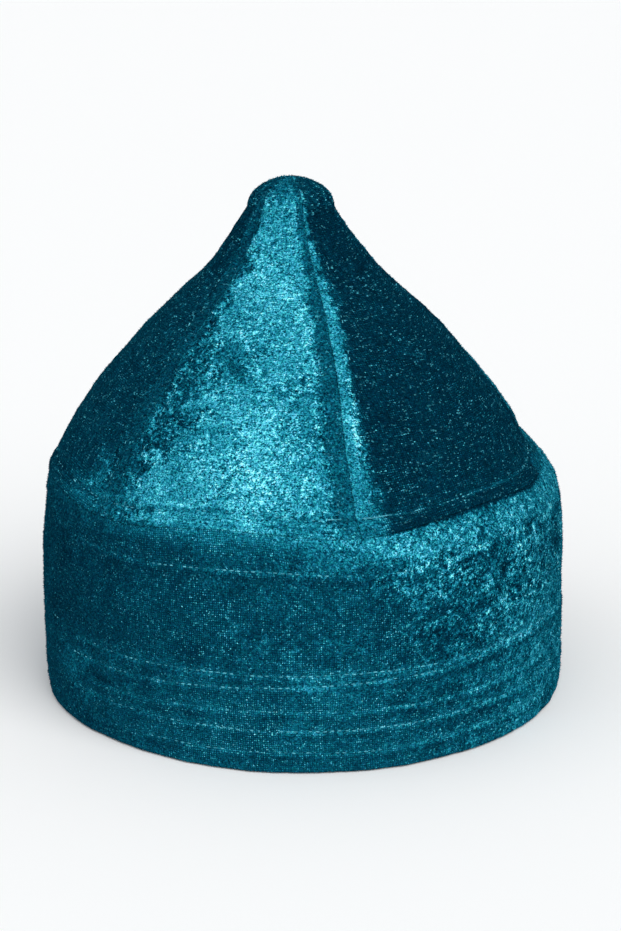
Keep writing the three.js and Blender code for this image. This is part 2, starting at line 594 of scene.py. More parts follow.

# how wide, in degrees, the pile lies another way on each side of a gore seam, with its own painted sheen,
# and the shares of that
# width between which it fades
seamStrips = {
    "height": [80, 85, 90, 98, 104, 122, 128, 136, 150, 158, 166, 184],
    "near": [6.0, 6.6, 7.0, 6.8, 4.8, 4.2, 5.2, 6.6, 6.6, 5.2, 4.0, 4.0],
    "far": [5.8, 5.8, 5.8, 5.4, 6.2, 6.6, 7.2, 8.2, 8.4, 8.6, 9.5, 10],
    "cover": [0.15, 0.25, 0.75, 0.85, 0.85, 0.85, 0.85, 0.85, 0.85, 0.85, 0.85, 0.85],
    "nearFade": (0.35, 1.2),
    "farFade": (0.6, 1.15),
}

# the edge of the front gore's bright pile and its painted sheen, left of which it lies the other way and the
# painted sheen is dimmer
brightEdge = {
    "height": [80, 90, 98, 104, 112, 120, 128, 134, 139, 145, 151, 158, 164, 172, 184],
    "turn": [-37, -38.5, -37, -33, -31.5, -34, -33, -32, -35.5, -39, -36.5, -31, -36, -41, -43],
    "soft": 5,
    "beyond": 0.2,
    "crushBeyond": 0.8,
    "crushAcross": 1.6,
}

# the lowest part of the crown, where the pile lies in streaks and is less blotchy
crownFoot = {"upTo": (87, 94), "flatter": (1, 1, 7), "calm": 0.45}
mostCrush = 1.7

# blotches where the pile lies another way, in painted sheen; the dark one at turn 88 is painted shade along
# the cap's right-hand edge: turn, height, width in degrees, tallness, slant in degrees for each millimetre,
# tone, cover
crownBlotches = [
    (-23, 131, 10, 4.5, 0.6, 0.24, 0.9),
    (-22, 122, 3, 3, 0, 0.27, 0.5),
    (-29, 115, 5, 2.5, 0.5, 0.3, 0.5),
    (-30, 107, 6, 5, 0.3, 0.3, 0.65),
    (-18, 106, 6, 6, 0, 0.43, 0.6),
    (-8, 105, 6, 20, 0, 0.55, 0.7),
    (-12, 150, 12, 12, 0, 0.53, 0.5),
    (3, 116, 5, 9, 0, 0.4, 0.6),
    (0, 85, 8, 4, 0, 0.4, 0.7),
    (-42, 91, 3, 8, 0, 0.42, 0.8),
    (1, 124, 4, 3, 0, 0.38, 0.6),
    (9, 100, 3, 22, 0, 0.38, 0.5),
    (17.5, 142, 4, 16, 0, 0.44, 0.6),
    (16.5, 113, 3, 12, 0, 0.53, 0.8),
    (45, 110, 24, 22, 0, 0.105, 0.5),
    (-60, 148, 9, 22, 0, 0.15, 0.5),
    (-14, 97, 7, 5, 0, 0.55, 0.6),
    (-54, 85, 12, 6, 0.4, 0.26, 0.7),
    (-20, 141, 6, 3, 0, 0.47, 0.4),
    (0, 185, 400, 8, 0, 0.2, 0.7),
    (50, 165, 26, 15, 0, 0.09, 0.7),
    (-75, 163, 18, 16, 0, 0.1, 0.7),
    (3, 171, 6, 7, 0, 0.42, 0.6),
    (-17, 128, 5, 3, 0, 0.27, 0.7),
    (-46, 171, 8, 6, 0, 0.38, 0.5),
    (4, 85, 6, 4, 0, 0.3, 0.6),
    (-50, 91, 6, 8, 0, 0.31, 0.7),
    (5, 117, 5, 11, 0, 0.37, 0.6),
    (-35, 82, 6, 2.4, 0, 0.33, 0.8),
    (16, 84, 5, 5, 0, 0.3, 0.8),
    (11, 84.5, 5, 4, 0, 0.32, 0.8),
    (26, 149, 4, 5, 0, 0.24, 0.6),
    (5, 140, 4, 9, 0, 0.56, 0.7),
    (6, 97, 3, 3.5, 0, 0.56, 0.6),
    (88, 90, 8, 14, 0, 0.13, 0.8),
    (16.5, 109, 1.5, 7, 0, 0.66, 0.8),
]

# the band's tone by turn in each of its fields, going up: painted sheen and painted shade, darker to the
# left and lighter on the ledge, where light falls from above and the right; then how blotchy it is, how far
# the stitches show and how strong the painted highlights along the rows are
bandNapSheen = {
    "turn": [-180, -120, -90, -60, -45, -30, -10, 0, 15, 28, 40, 55, 75, 95, 130, 180],
    "low": [0.22, 0.19, 0.16, 0.158, 0.183, 0.222, 0.24, 0.25, 0.24, 0.235, 0.24, 0.285, 0.26, 0.26,
            0.24, 0.22],
    "middle": [0.2, 0.16, 0.135, 0.13, 0.15, 0.18, 0.2, 0.205, 0.2, 0.19, 0.205, 0.275, 0.245, 0.24,
               0.23, 0.2],
    "ledge": [0.25, 0.2, 0.15, 0.14, 0.155, 0.2, 0.23, 0.27, 0.34, 0.44, 0.4, 0.37, 0.31, 0.3, 0.28, 0.25],
    "edge": [0.25, 0.2, 0.165, 0.18, 0.2, 0.28, 0.33, 0.35, 0.4, 0.32, 0.26, 0.27, 0.29, 0.3, 0.28, 0.25],
    "crush": [0.6, 0.4, 0.35, 0.3, 0.35, 0.35, 0.4, 0.45, 0.55, 0.95, 1.2, 1.25, 1.1, 0.9, 0.7, 0.6],
    "shows": [0.5, 0.4, 0.2, 0.0, 0.3, 0.9, 1, 1, 0.9, 0.6, 0.2, 0.0, 0.0, 0.2, 0.5, 0.5],
    "glow": [1, 0.8, 0.4, 0.3, 0.6, 0.9, 1, 1, 1.2, 1.6, 1.9, 1.6, 1.2, 1, 1, 1],
}

# the same for the band, where the dark ones over the band's dents are painted shade in those hollows: turn,
# height, width, tallness, slant, tone, cover
bandBlotches = [
    (28, 66.5, 10, 4, 0, 0.34, 0.6),
    (47.5, 61, 1.6, 2, 0, 0.06, 0.9),
    (49, 52, 1.2, 3, 0, 0.06, 0.9),
    (53.5, 57.5, 1.5, 1.4, 0, 0.1, 0.8),
    (54.5, 52, 1.5, 1.4, 0, 0.12, 0.8),
    (35, 62, 3, 2, 0, 0.17, 0.6),
    (31, 46, 5, 5.5, 0.3, 0.19, 0.6),
    (30, 50.5, 1.8, 3, 1.6, 0.44, 0.7),
    (31, 59, 2, 2.5, 1, 0.4, 0.6),
    (34, 54.5, 2, 2, 1, 0.43, 0.6),
    (25, 56, 2, 2, 0, 0.38, 0.6),
    (41, 58, 2, 2, 0, 0.38, 0.5),
    (34, 39, 1.5, 3, 0.6, 0.44, 0.8),
    (39.5, 45, 1.5, 4, 0.5, 0.39, 0.6),
    (43, 41, 1.5, 2.5, 0.4, 0.4, 0.6),
    (57.5, 70, 2.4, 2.2, 0, 0.1, 0.85),
    (42, 73, 1.6, 2.4, 0, 0.13, 0.7),
    (62, 58, 2, 2.6, 0, 0.13, 0.7),
    (16, 71.5, 9, 1.8, 0, 0.18, 0.8),
    (0, 73.5, 2.5, 2.4, 0, 0.15, 0.7),
    (-46, 21.5, 5, 0.9, 0, 0.08, 0.85),
    (-52, 25, 2, 4, 0, 0.29, 0.6),
    (-52.5, 12, 1.5, 5, 0.3, 0.31, 0.7),
    (-66, 37, 3, 6, 0, 0.1, 0.6),
    (52, 44, 8, 16, 0, 0.36, 0.4),
    (27, 24, 10, 3.5, 0, 0.16, 0.75),
    (5, 33, 10, 4, 0, 0.34, 0.5),
    (-2, 17, 5, 5, 0, 0.3, 0.5),
    (-8, 43, 9, 5, 0, 0.26, 0.5),
    (-58, 20, 4, 8, 0, 0.24, 0.6),
    (74, 28, 6, 5, 0, 0.18, 0.6),
    (73, 60, 5, 6, 0, 0.12, 0.7),
    (66.5, 4, 3.5, 4, 0, 0.18, 0.8),
    (51, 3, 4, 3.5, 0, 0.35, 0.6),
    (22, 40, 7, 6, 0, 0.2, 0.5),
    (55, 66, 7, 4, 0, 0.37, 0.4),
    (31, 41, 9, 4, 0, 0.16, 0.6),
    (42, 34, 4, 3, 0, 0.18, 0.6),
    (25, 64, 9, 5, 0, 0.33, 0.6),
    (20, 79, 12, 2, 0, 0.38, 0.5),
    (72, 58, 3, 3, 0, 0.1, 0.7),
]

# where the pile is worn and the weave shows: turn, height, width in degrees, tallness, strength
bandWear = [
    (-25, 52, 30, 20, 0.85),
    (8, 48, 24, 22, 0.8),
    (-3, 14, 48, 22, 0.8),
    (-25, 76, 28, 7, 0.7),
    (170, 45, 60, 30, 0.4),
]


def softOval(across, wide, up, tall):
    return np.exp(-((across / wide) ** 2 + (up / tall) ** 2) ** 1.5)


def wornAt(degrees, height, wear):
    worn = np.zeros_like(height)
    for t, h, wide, tall, much in wear:
        worn = np.maximum(worn, much * softOval(nearest(degrees - t), wide, height - h, tall))
    return worn


raggedBorder = 2.5  # how much blotchier the pile is along a blotch's border


def addBlotches(nap, crush, degrees, height, blotches):
    for t, h, wide, tall, slant, tone, cover in blotches:
        weight = softOval(nearest(degrees - t - slant * (height - h)), wide, height - h, tall)
        nap = mixed(nap, tone, cover * weight)
        crush = crush + raggedBorder * cover * weight * (1 - weight)
    return nap, crush


# the radius at which turns waver as much as their table says, and where that stops growing
ruffle = {"radius": 80, "leastRadius": 25}


# the turn and height that fields are laid out by, wavering so that no border is straight
def ruffled(turn, arc, places):
    level = along(arc, "height")
    sideways = wavered(0, places, "fieldTurn") * ruffle["radius"]
    sideways = sideways / np.maximum(along(arc, "radius"), ruffle["leastRadius"])
    degrees = nearest(np.degrees(swungTurn(turn, level)) + sideways)
    return degrees, wavered(level, places, "fieldHeight")


# where the crown's tone and painted sheen end, in mm above the joint, and the tone with painted sheen it has
# there
toneEdge = {
    "turn": [-180, -60, -45, -38, -28, -23, -15, 0, 10, 20, 30, 37, 42, 70, 95, 180],
    "above": [0, 0, 1.2, 1.5, 1.0, 0.35, -0.4, -0.5, -0.5, -0.4, -0.7, -1.4, -0.9, -0.8, -0.3, 0],
    "crown": [0.3, 0.2, 0.25, 0.35, 0.43, 0.46, 0.46, 0.42, 0.33, 0.18, 0.11, 0.1, 0.1, 0.1, 0.2, 0.3],
    "soft": (-0.3, 0.4),
}

# the edge is more ragged where it lies above the joint
toneRagged = {"above": [-0.5, 0.5], "waver": [0.9, 2.2]}


def crownShare(degrees, arc, places):
    above = charted(toneEdge, "above", degrees)
    ragged = charted(toneRagged, "waver", above, "above") * wavered(0, places, "toneEdge")
    ragged = wavered(ragged, places, "toneEdgeFine")
    return smoothstep(arc - jointArc - above + ragged, *toneEdge["soft"])


# the crown's tone with its painted sheen and shade, how blotchy it is and how worn
def crownNapSheen(name, turn, arc):
    chart = goreNapSheen[name]
    places = onOutline(turn, arc)
    degrees, height = ruffled(turn, arc, places)
    nap = np.full_like(arc, chart["nap"])
    crush = np.full_like(arc, chart["crush"])
    if name == "gore_6":
        edge = charted(brightEdge, "turn", height, "height")
        strewn = degrees + wavered(0, places, "brightEdge")
        lit = smoothstep(strewn, edge - brightEdge["soft"], edge + brightEdge["soft"])
        nap = mixed(brightEdge["beyond"], nap, lit)
        crush = crush + brightEdge["crushBeyond"] * (1 - lit) + brightEdge["crushAcross"] * lit * (1 - lit)
    nap, crush = addBlotches(nap, crush, degrees, height, crownBlotches)

    level = along(arc, "height")
    seam = seamDistance(turn, arc)
    near = seam > 0
    wide = np.where(near, *(charted(seamStrips, key, level, "height") for key in ("near", "far")))
    wide = np.radians(wide) * along(arc, "radius")
    fades, gone = (np.where(near, *ends) for ends in zip(seamStrips["nearFade"], seamStrips["farFade"]))
    strip = 1 - smoothstep(wavered(np.abs(seam), places, "seamStrip"), wide * fades, wide * gone)
    cover = charted(seamStrips, "cover", level, "height")
    nap = mixed(nap, np.where(near, chart["nearSeam"], chart["farSeam"]), cover * strip)
    crush = crush * (1 - 0.6 * strip) + 3 * strip * (1 - strip)

    # painted shade in the foot row's groove, a painted highlight above it, and on gore_1 a painted highlight
    # along the row
    row = level - crownRowHeight(turn)
    dark = crownRow["dark"] * hill(row, crownRow["darkWidth"])
    paintedHighlight = crownRow["paintedHighlight"] * hill(row - crownRow["highlightAbove"], crownRow["highlightWidth"])
    nap = nap * (1 - dark + paintedHighlight)
    if "rowGlow" in chart:
        nap = nap + chart["rowGlow"] * wavered(1, places, "footRow") * hill(row, crownRow["glowWidth"])
    foot = 1 - smoothstep(level, *crownFoot["upTo"])
    streaks = wavered(0, places * crownFoot["flatter"], "footStreaks") * foot
    nap = nap * wavered(1 + streaks, places, "crownTone")
    crush = np.minimum(crush, mostCrush) * (1 - crownFoot["calm"] * foot)
    edge = charted(bandNapSheen, "edge", degrees)
    return mixed(edge, nap, crownShare(degrees, arc, places)), crush, chart["worn"] * (1 - strip)


# the heights over which the band's pile passes into its next field of tone and painted sheen
bandFields = {"middle": (33, 38), "ledge": (69, 74), "edge": (76, 80.5)}

# the dark line of painted shade under each of the band's rows, and the bright line of painted highlight
# along it
rowShade = {"dark": 0.035, "darkBelow": 2.2, "darkWidth": 1.3, "glowBelow": 0.2, "glowWidth": 0.9}


# the band's tone with its painted sheen and shade, how blotchy it is and how worn
def bandNapSheenAt(turn, arc):
    places = onOutline(turn, arc)
    degrees, height = ruffled(turn, arc, places)
    nap = charted(bandNapSheen, "low", degrees)
    for field, (start, whole) in bandFields.items():
        nap = mixed(nap, charted(bandNapSheen, field, degrees), smoothstep(height, start, whole))
    nap, crush = addBlotches(nap, charted(bandNapSheen, "crush", degrees), degrees, height, bandBlotches)
    crush = crush * (0.6 + 0.4 * smoothstep(height, 34, 50) - 0.3 * smoothstep(height, 68, 74))
    nap = nap * wavered(1, places, "bandTone")
    nap = mixed(nap, charted(toneEdge, "crown", degrees), crownShare(degrees, arc, places))
    # a painted highlight along each stitch row and painted shade under it
    strength = charted(bandNapSheen, "glow", degrees) * wavered(1, places, "bandRow")
    for row in bandRows:
        distance = along(arc, "height") - rowHeight(row, turn)
        bright = hill(distance + rowShade["glowBelow"], rowShade["glowWidth"])
        dark = hill(distance + rowShade["darkBelow"], rowShade["darkWidth"])
        nap = nap + bandRows[row]["glow"] * strength * bright
        nap = nap - rowShade["dark"] * strength * dark
    return nap, crush, wornAt(degrees, height, bandWear)


# the meshes

def pointArray(mesh):
    flat = np.empty(len(mesh.vertices) * 3)
    mesh.vertices.foreach_get("co", flat)
    return flat.reshape(-1, 3)


def keepValues(mesh, **values):
    for name, numbers in values.items():
        mesh.attributes.new(name, "FLOAT", "POINT").data.foreach_set("value", numbers.astype(np.float32))


def clothMap(mesh, width, length):
    layer = mesh.uv_layers[0].data
    flat = np.empty(len(layer) * 2)
    layer.foreach_get("uv", flat)
    unit = flat.reshape(-1, 2)
    layer.foreach_set("uv", np.stack([width(unit), length(unit)], -1).ravel() * mm)


def addPiece(name, mesh, material, node):
    mesh.shade_smooth()
    mesh.materials.clear()
    mesh.materials.append(material)
    piece = asObject(name, mesh)
    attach(piece, "root")
    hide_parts(node)
    return piece


# edgeShare and footShare draw a gore's columns towards its seams and its rows towards its foot
goreMeshing = {
    "columns": 84,
    "rows": 150,
    "edgeShare": 0.68,
    "footShare": 0.5,
    "seamGap": 0.015,
    "leastRadius": 0.3,
}
bandMeshing = {
    "turns": 540,
    "outerRows": 100,
    "edge": 6,
    "edgeRows": 16,
    "lipRows": 5,
    "innerRows": 20,
    "footRows": 4,
}
backingNap = 0.2


# the turn of a gore's middle, and half the sector it fills
def goreSector(index):
    half = math.pi / shape["goreCount"]
    return shape["firstSeam"] + (2 * index - 1) * half, half


def goreAcross(u):
    share = goreMeshing["edgeShare"]
    return (1 - share) * u + share * np.sin(u * math.pi / 2)


def goreUp(v):
    gap = goreMeshing["seamGap"]
    drawn = goreMeshing["footShare"] * np.sin(math.pi * v) / math.pi
    return jointArc + gap + (wholeArc - jointArc - 2 * gap) * (v - drawn)


def steadySides(bm):
    # extruding leaves the side faces in a new order each run, and the tufts are drawn in that order
    bm.faces.index_update()
    last = len(bm.faces) + math.pi

    def place(face):
        x, y, z = face.calc_center_median()
        return last + math.atan2(y, x) if 0 < z < 1 else face.index

    bm.faces.sort(key=place)


def makeGore(name, index, material):
    bm = bmesh.new()
    bm.loops.layers.uv.new("cloth")
    bmesh.ops.create_grid(bm, x_segments=goreMeshing["columns"], y_segments=goreMeshing["rows"], size=1,
                          calc_uvs=True)
    raised = bmesh.ops.extrude_face_region(bm, geom=bm.faces[:], use_keep_orig=True)
    outer = [part for part in raised["geom"] if isinstance(part, bmesh.types.BMVert)]
    bmesh.ops.translate(bm, verts=outer, vec=(0, 0, 1))
    bmesh.ops.recalc_face_normals(bm, faces=bm.faces)
    steadySides(bm)
    mesh = asMesh(bm, name)

    middle, half = goreSector(index)
    u, v, layer = pointArray(mesh).T
    arc = goreUp((v + 1) / 2)
    radius = np.maximum(along(arc, "radius"), goreMeshing["leastRadius"])
    reach = np.maximum(half - goreMeshing["seamGap"] / radius, half * 0.8)
    turn = middle + goreAcross(u) * reach
    lift = np.where(layer > 0.5, crownLift(turn, arc), crownLift(turn, arc, inner=True))
    mesh.vertices.foreach_set("co", (onCap(turn, arc, lift) * mm).ravel())
    nap, crush, worn = crownNapSheen(name, turn, arc)
    keepValues(mesh, nap=np.where(layer > 0.5, nap, backingNap), crush=crush, pile=layer, worn=worn)
    clothMap(
        mesh,
        lambda unit: goreAcross(unit[:, 0] * 2 - 1) * half * along(goreUp(unit[:, 1]), "radius"),
        lambda unit: goreUp(unit[:, 1]),
    )
    return addPiece(name + "_velvet", mesh, material, name)


# the band's cross-section as arc and lift: up the outside, over the top edge, down the inside, round the hem
def bandLoop():
    wall, lip, hem = cloth["bandWall"], cloth["lipRadius"], cloth["hemRadius"]
    top = jointArc - goreMeshing["seamGap"]
    fine = top - lip - bandMeshing["edge"]
    outer = np.linspace(hem, fine, bandMeshing["outerRows"], endpoint=False)
    outer = np.append(outer, np.linspace(fine, top - lip, bandMeshing["edgeRows"]))
    over = np.linspace(0, math.pi / 2, bandMeshing["lipRows"] + 1)[1:]
    inner = np.linspace(top - 1, hem, bandMeshing["innerRows"])
    under = np.linspace(0, math.pi / 2, bandMeshing["footRows"] + 1)[1:]
    stretches = [
        (outer, 0 * outer),
        (top - lip + lip * np.sin(over), -lip * (1 - np.cos(over))),
        ([top, top - 1 + np.sin(0.8)], [-wall + 1, -wall + 1 - np.cos(0.8) * 0.6]),
        (inner, 0 * inner - wall),
        (hem * (1 - np.sin(under)), -wall + hem * (1 - np.cos(under))),
        (hem * (1 - np.cos(under[:-1])), -hem * (1 - np.sin(under[:-1]))),
    ]
    arc, lift = (np.concatenate(part) for part in zip(*stretches))
    return arc, lift


def makeBand(material):
    loopArc, loopLift = bandLoop()
    rows = len(loopArc)
    bm = bmesh.new()
    bm.loops.layers.uv.new("cloth")
    bmesh.ops.create_grid(bm, x_segments=bandMeshing["turns"], y_segments=rows, size=1, calc_uvs=True)
    mesh = asMesh(bm, "band")
    u, v, _ = pointArray(mesh).T
    turn = u * math.pi
    place = np.rint((v + 1) / 2 * rows).astype(int) % rows
    arc, base = loopArc[place], loopLift[place]
    outside = base > -cloth["lipRadius"] - 0.1
    base = np.where(outside & (arc > 1), base * lipShare(jointShow(turn)), base)
    onOutside = 1 - smoothstep(-base, 0, cloth["bandWall"])
    lift = base + bandLift(turn, arc) * onOutside
    mesh.vertices.foreach_set("co", (onCap(turn, arc, lift) * mm).ravel())
    nap, crush, worn = bandNapSheenAt(turn, arc)
    pile = onOutside * (0.8 + 0.2 * smoothstep(arc, 1.2, 2.2))
    keepValues(mesh, nap=np.where(outside, nap, backingNap), crush=crush, pile=pile, worn=worn)
    clothMap(
        mesh,
        lambda unit: (unit[:, 0] * 2 - 1) * math.pi * outline["radius"][0],
        lambda unit: np.append(loopArc, loopArc[0])[np.rint(unit[:, 1] * rows).astype(int)],
    )
    bm = bmesh.new()
    bm.from_mesh(mesh)
    bmesh.ops.remove_doubles(bm, verts=bm.verts, dist=1e-7)
    bmesh.ops.recalc_face_normals(bm, faces=bm.faces)
    bm.to_mesh(mesh)
    bm.free()
    return addPiece("band_velvet", mesh, material, "band")


# stitches: one small thread shape, repeated along each sewn row

thread = {
    "length": 1.5,
    "thickness": 0.5,
    "pitch": 2.45,
    "sides": 6,
    "rings": 5,
    "sunk": 0.75,
    "buried": 0.5,
    "bandSteps": 480,
    "looseSteps": 12,
}


def stitchShape():
    bm = bmesh.new()
    bmesh.ops.create_uvsphere(bm, u_segments=thread["sides"], v_segments=thread["rings"], radius=0.5)
    bmesh.ops.rotate(bm, verts=bm.verts, matrix=Matrix.Rotation(math.pi / 2, 3, "Y"))
    size = Vector((thread["length"], thread["thickness"], thread["thickness"])) * mm
    bmesh.ops.scale(bm, verts=bm.verts, vec=size)
    inOrder = Vector((100, 10, 1))
    bm.faces.sort(key=lambda face: face.calc_center_median().dot(inOrder))
    return asMesh(bm, "stitch")


def sewRow(template, places, closed, pitch=thread["pitch"]):
    curve = bpy.data.curves.new("row", "CURVE")
    curve.dimensions = "3D"
    spline = curve.splines.new("POLY")
    spline.points.add(len(places) - 1)
    spline.points.foreach_set("co", np.column_stack([places * mm, np.ones(len(places))]).ravel())
    spline.use_cyclic_u = closed
    loop = np.vstack([places, places[:1]]) if closed else places
    length = np.linalg.norm(np.diff(loop, axis=0), axis=1).sum() * mm
    count = int(length / (pitch * mm))
    path = asObject("path", curve)
    row = asObject("row", template.copy())
    array = row.modifiers.new("repeat", "ARRAY")
    array.use_relative_offset = False
    array.use_constant_offset = True
    array.constant_offset_displace = (length / count, 0, 0)
    array.count = count
    bend = row.modifiers.new("bend", "CURVE")
    bend.object = path
    sewn = finishedMesh(row)
    for part in (row, path):
        bpy.data.objects.remove(part)
    return sewn


def joined(meshes, name):
    bm = bmesh.new()
    for mesh in meshes:
        bm.from_mesh(mesh)
    return asMesh(bm, name)


# some stitches sink into the pile and some stand out of it
def threadLift(turn, arc, lift):
    return lift + thread["sunk"] * wavered(0, onOutline(turn, arc), "thread")


def sewBand(template, material):
    rows = []
    turn = np.linspace(-math.pi, math.pi, thread["bandSteps"], endpoint=False)
    for row in bandRows:
        arc = arcAt(rowHeight(row, turn))
        shows = charted(bandNapSheen, "shows", np.degrees(turn))
        show = bandRows[row]["show"] - thread["buried"] * (1 - shows)
        lift = threadLift(turn, arc, bandLift(turn, arc) + show)
        rows.append(sewRow(template, onCap(turn, arc, lift), True))
    return addPiece("band_stitches", joined(rows, "band_stitches"), material, "band")


goreSewing = {
    "heights": (83.5, 160),
    "steps": 160,
    "near": [-0.34, -1.0, -0.34, -0.34, -0.34, -0.34],
    "far": [-1.0, -0.34, -0.34, -0.34, -0.34, -0.34],
}

# loose ends of thread lying over the foot row: where they start and stop, and their closer pitch
looseEnds = {
    "gore_6": {"turn": (9.0, 12.0), "height": (87.2, 87.3), "show": 0.0, "pitch": 1.1},
    "gore_1": {"turn": (16.8, 23.2), "height": (86.9, 86.5), "show": 0.2, "pitch": 1.1},
}


def sewGore(name, index, template, material):
    middle, half = goreSector(index)
    arc = np.linspace(*arcAt(goreSewing["heights"]), goreSewing["steps"])
    inset = half - cloth["allowance"] / along(arc, "radius")
    across = np.linspace(-half, half, goreSewing["steps"])
    foot = arcAt(crownRowHeight(middle + across))
    rows = []
    sewn = (
        (middle - inset, arc, goreSewing["near"][index - 1]),
        (middle + inset, arc, goreSewing["far"][index - 1]),
        (middle + across, foot, goreNapSheen[name]["thread"]),
    )
    for turn, up, show in sewn:
        lift = threadLift(turn, up, crownLift(turn, up) + show)
        rows.append(sewRow(template, onCap(turn, up, lift), False))
    if name in looseEnds:
        loose = looseEnds[name]
        turn = np.radians(np.linspace(*loose["turn"], thread["looseSteps"]))
        up = arcAt(np.linspace(*loose["height"], thread["looseSteps"]))
        lift = crownLift(turn, up) + loose["show"]
        rows.append(sewRow(template, onCap(turn, up, lift), False, loose["pitch"]))
    return addPiece(name + "_stitches", joined(rows, name + "_stitches"), material, name)


# pile: short tufts scattered over the face of the cloth

tufts = {
    "perSquareMetre": 0.8e6,
    "width": 0.00022,
    "length": 0.00078,
    "sunk": 0.00024,
    "tilt": 0.6,
    "small": 0.6,
    "large": 1.15,
    "wornDown": 0.6,
    "dim": -0.4,
    "bright": 0.9,
    "growsAbove": 0.9,
}


def tuftGroup():
    group = bpy.data.node_groups.new("tufts", "GeometryNodeTree")
    sockets = (("Cloth", "INPUT", "Geometry"), ("Seed", "INPUT", "Int"), ("Pile", "OUTPUT", "Geometry"))
    for name, way, kind in sockets:
        group.interface.new_socket(name, in_out=way, socket_type="NodeSocket" + kind)
    nodes = Nodes(group)
    given = nodes.node("NodeGroupInput", output="Cloth")
    seed = given.other("Seed")
    outward = nodes.node("GeometryNodeInputNamedAttribute", {}, {"Name": "pile"}, "Attribute")
    faced = nodes.node("FunctionNodeCompare", {"operation": "GREATER_THAN"},
                       {"A": outward, "B": tufts["growsAbove"]})
    bed = {"Mesh": given, "Selection": faced, "Density": tufts["perSquareMetre"], "Seed": seed}
    scatter = nodes.node("GeometryNodeDistributePointsOnFaces", {}, bed)
    size = {"Vertices": 3, "Radius Top": 0.0, "Radius Bottom": tufts["width"], "Depth": tufts["length"]}
    cone = nodes.node("GeometryNodeMeshCone", {}, size)
    sunk = nodes.node("GeometryNodeTransform", {}, {"Geometry": cone, "Translation": (0, 0, -tufts["sunk"])})
    tilt = tufts["tilt"]
    lean = nodes.node("FunctionNodeRandomValue", {"data_type": "FLOAT_VECTOR"},
                      {"Min": (-tilt, -tilt, 0), "Max": (tilt, tilt, 2 * math.pi), "Seed": seed})
    turned = nodes.node("FunctionNodeEulerToRotation", {}, {"Euler": lean})
    rotation = nodes.node("FunctionNodeRotateRotation", {"rotation_space": "LOCAL"},
                          {"Rotation": scatter.other("Rotation"), "Rotate By": turned})
    grown = nodes.node("FunctionNodeRandomValue", {}, {2: tufts["small"], 3: tufts["large"]}, 1)
    worn = nodes.node("GeometryNodeInputNamedAttribute", {}, {"Name": "worn"}, "Attribute")
    scale = worn.maths("MULTIPLY_ADD", -tufts["wornDown"], 1.0) * grown
    # shine: a random lightening or darkening of each tuft's colour; the lightest are painted glints
    shine = nodes.node("FunctionNodeRandomValue", {}, {2: tufts["dim"], 3: tufts["bright"]}, 1)
    placed = nodes.node("GeometryNodeInstanceOnPoints", {},
                        {"Points": scatter, "Instance": sunk, "Rotation": rotation, "Scale": scale})
    kept = nodes.node("GeometryNodeStoreNamedAttribute", {"domain": "INSTANCE"},
                      {"Geometry": placed, "Name": "shine", "Value": shine})
    real = nodes.node("GeometryNodeRealizeInstances", {}, {"Geometry": kept})
    nodes.node("NodeGroupOutput", {}, {"Pile": real})
    return group


def growPile(piece, group, seed, material, node):
    bed = asObject("bed", piece.data.copy())
    grow = bed.modifiers.new("grow", "NODES")
    grow.node_group = group
    grow["Socket_1"] = seed
    mesh = finishedMesh(bed)
    bpy.data.objects.remove(bed)
    return addPiece(node + "_pile", mesh, material, node)


# the finishes

pileColours = [
    (0.00, (0.0, 0.002, 0.005)),
    (0.12, (0.0003, 0.023, 0.046)),
    (0.20, (0.0012, 0.048, 0.082)),
    (0.28, (0.0022, 0.086, 0.139)),
    (0.36, (0.0042, 0.146, 0.219)),
    (0.51, (0.019, 0.301, 0.418)),
    (0.67, (0.070, 0.515, 0.665)),
    (0.84, (0.180, 0.810, 0.975)),
    (1.00, (0.40, 0.97, 1.0)),
]

# each look's glint strength is a painted highlight on the specks
velvets = {
    "band": {
        "brushed": 1.0, "speck": 0.32, "paintedHighlight": 0.045,
        "patch": 0.62, "stretch": 1.2, "courses": 0.5, "weave": 0.62,
    },
    "crown": {
        "brushed": 0.66, "speck": 0.31, "paintedHighlight": 0.07,
        "patch": 0.6, "stretch": 1.15, "courses": 1.0, "weave": 0.9,
    },
}

# sizes in metres, from a tuft to a bare spot
velvetSizes = {
    "tuft": 0.00042,
    "course": 0.00045,
    "weave": 0.00076,
    "clump": 0.0012,
    "crease": 0.0017,
    "ragged": 0.0035,
    "cluster": 0.004,
    "patch": 0.0052,
    "bareSpot": 0.011,
}
patchLean = -0.75
greener = (0.75, 1.09, 0.93, 1)
bluer = (1.1, 0.93, 1.09, 1)
glintColour = (0.45, 1.2, 1.15)


